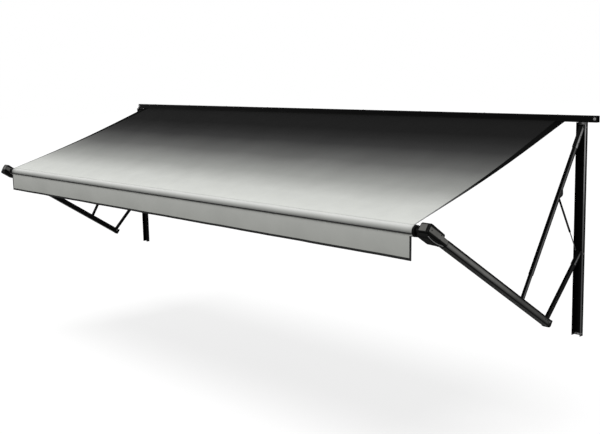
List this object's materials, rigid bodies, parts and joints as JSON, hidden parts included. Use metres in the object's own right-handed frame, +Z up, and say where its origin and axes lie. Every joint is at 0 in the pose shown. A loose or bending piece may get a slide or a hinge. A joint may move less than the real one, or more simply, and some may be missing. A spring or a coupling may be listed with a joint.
{
  "type": "patio awning",
  "caption": "Wall-mounted patio awning with a cloth canopy, a hanging valance, a roller and folding spring-assisted arms at both ends.",
  "frame": {"origin": "the wall face of the rail, half way along the canopy, at the height of the screws that hold the rail", "axes": "+X along the wall, +Y into the wall, +Z up; the canopy reaches out towards -Y"},
  "size_m": [6.7693, 1.9785, 1.8305],
  "materials": {
    "black_paint": "satin",
    "grey_paint": "satin",
    "bare_aluminium": "mill",
    "steel": "plated",
    "black_plastic": "matt",
    "canopy_cloth": "matt, dark at the wall and fading to pale grey at the roller",
    "valance_cloth": "matt"
  },
  "bodies": {
    "wall_frame": {"awning_rail": "black_paint", "canopy": "canopy_cloth", "wall_channel_right": "black_paint", "top_plate_right": "bare_aluminium", "bottom_plate_right": "bare_aluminium", "upper_pivot_bolt_right": "steel", "lower_pivot_bolt_right": "steel", "wall_channel_left": "black_paint", "top_plate_left": "bare_aluminium", "bottom_plate_left": "bare_aluminium", "upper_pivot_bolt_left": "steel", "lower_pivot_bolt_left": "steel"},
    "right_upper": {"upper_arm_right": "black_paint", "upper_arm_hinge_right": "grey_paint", "strut_bracket_right": "grey_paint"},
    "right_inner": {"inner_arm_right": "black_paint", "slider_pin_right": "steel"},
    "right_slider": {"arm_slider_right": "grey_paint"},
    "right_lower": {"lower_arm_right": "black_paint", "lower_arm_hinge_right": "grey_paint"},
    "right_main": {"main_arm_right": "grey_paint", "main_arm_foot_right": "grey_paint", "main_arm_cap_right": "black_plastic", "elbow_bolt_right": "steel", "head_housing_right": "grey_paint", "head_cover_right": "grey_paint", "head_skirt_right": "black_plastic", "roller_bearing_right": "steel", "drive_motor": "black_plastic"},
    "right_cylinder": {"strut_cylinder_right": "black_paint"},
    "right_rod": {"strut_rod_right": "steel"},
    "left_upper": {"upper_arm_left": "black_paint", "upper_arm_hinge_left": "grey_paint", "strut_bracket_left": "grey_paint"},
    "left_inner": {"inner_arm_left": "black_paint", "slider_pin_left": "steel"},
    "left_slider": {"arm_slider_left": "grey_paint"},
    "left_lower": {"lower_arm_left": "black_paint", "lower_arm_hinge_left": "grey_paint"},
    "left_main": {"main_arm_left": "grey_paint", "main_arm_foot_left": "grey_paint", "main_arm_cap_left": "black_plastic", "elbow_bolt_left": "steel", "head_housing_left": "grey_paint", "head_cover_left": "grey_paint", "head_skirt_left": "black_plastic", "roller_bearing_left": "steel"},
    "left_cylinder": {"strut_cylinder_left": "black_paint"},
    "left_rod": {"strut_rod_left": "steel"},
    "roller": {"roller_tube": "bare_aluminium", "roller_wrap": "canopy_cloth", "valance": "valance_cloth", "roller_end_cap_right": "black_plastic", "roller_end_cap_left": "black_plastic"}
  },
  "joints": [
    {"name": "right_lower_fold", "type": "hinge", "parent": "wall_frame", "child": "right_lower", "pos_m": [3.29, -0.024, -1.11], "axis": [1, 0, 0], "range_deg": [0, 37.67], "deforming": ["canopy"]},
    {"name": "right_upper_fold", "type": "hinge", "parent": "wall_frame", "child": "right_upper", "pos_m": [3.29, -0.024, -0.074], "axis": [1, 0, 0], "range_deg": [0, 28.24]},
    {"name": "right_telescope", "type": "slide", "parent": "right_upper", "child": "right_inner", "axis": [0, 0.5198, 0.8543], "range_m": [0, 0.17]},
    {"name": "right_slider_turn", "type": "hinge", "parent": "right_inner", "child": "right_slider", "pos_m": [3.29, -0.82016, -1.38258], "axis": [1, 0, 0], "range_deg": [-85.44, 0]},
    {"name": "right_elbow", "type": "hinge", "parent": "right_lower", "child": "right_main", "pos_m": [3.29, -0.49066, -1.59493], "axis": [1, 0, 0], "range_deg": [-94.87, 0]},
    {"name": "right_strut_swing", "type": "hinge", "parent": "right_upper", "child": "right_cylinder", "pos_m": [3.29, -0.31068, -0.59137], "axis": [1, 0, 0], "range_deg": [-57.88, 0]},
    {"name": "right_strut_stroke", "type": "slide", "parent": "right_cylinder", "child": "right_rod", "axis": [0, -0.4939, 0.8695], "range_m": [0, 0.14769]},
    {"name": "left_lower_fold", "type": "hinge", "parent": "wall_frame", "child": "left_lower", "pos_m": [-3.29, -0.024, -1.11], "axis": [1, 0, 0], "range_deg": [0, 37.67]},
    {"name": "left_upper_fold", "type": "hinge", "parent": "wall_frame", "child": "left_upper", "pos_m": [-3.29, -0.024, -0.074], "axis": [1, 0, 0], "range_deg": [0, 28.24]},
    {"name": "left_telescope", "type": "slide", "parent": "left_upper", "child": "left_inner", "axis": [0, 0.5198, 0.8543], "range_m": [0, 0.17]},
    {"name": "left_slider_turn", "type": "hinge", "parent": "left_inner", "child": "left_slider", "pos_m": [-3.29, -0.82016, -1.38258], "axis": [1, 0, 0], "range_deg": [-85.44, 0]},
    {"name": "left_elbow", "type": "hinge", "parent": "left_lower", "child": "left_main", "pos_m": [-3.29, -0.49066, -1.59493], "axis": [1, 0, 0], "range_deg": [-94.87, 0]},
    {"name": "left_strut_swing", "type": "hinge", "parent": "left_upper", "child": "left_cylinder", "pos_m": [-3.29, -0.31068, -0.59137], "axis": [1, 0, 0], "range_deg": [-57.88, 0]},
    {"name": "left_strut_stroke", "type": "slide", "parent": "left_cylinder", "child": "left_rod", "axis": [0, -0.4939, 0.8695], "range_m": [0, 0.14769]},
    {"name": "roller_spin", "type": "hinge", "parent": "right_main", "child": "roller", "pos_m": [0, -1.88264, -0.69786], "axis": [1, 0, 0], "range_deg": [0, 2217.2], "deforming": ["valance"]}
  ],
  "couplings": [
    {"joint": "right_upper_fold", "follows": "right_lower_fold", "ratio": 0.74972},
    {"joint": "right_telescope", "follows": "right_lower_fold", "m_per_rad": 0.25855},
    {"joint": "right_slider_turn", "follows": "right_lower_fold", "ratio": -2.2681},
    {"joint": "right_elbow", "follows": "right_lower_fold", "ratio": -2.5183},
    {"joint": "right_strut_swing", "follows": "right_lower_fold", "ratio": -1.5364},
    {"joint": "right_strut_stroke", "follows": "right_lower_fold", "m_per_rad": 0.22462},
    {"joint": "left_lower_fold", "follows": "right_lower_fold", "ratio": 1},
    {"joint": "left_upper_fold", "follows": "right_lower_fold", "ratio": 0.74972},
    {"joint": "left_telescope", "follows": "right_lower_fold", "m_per_rad": 0.25855},
    {"joint": "left_slider_turn", "follows": "right_lower_fold", "ratio": -2.2681},
    {"joint": "left_elbow", "follows": "right_lower_fold", "ratio": -2.5183},
    {"joint": "left_strut_swing", "follows": "right_lower_fold", "ratio": -1.5364},
    {"joint": "left_strut_stroke", "follows": "right_lower_fold", "m_per_rad": 0.22462},
    {"joint": "roller_spin", "follows": "right_lower_fold", "ratio": 58.854}
  ]
}
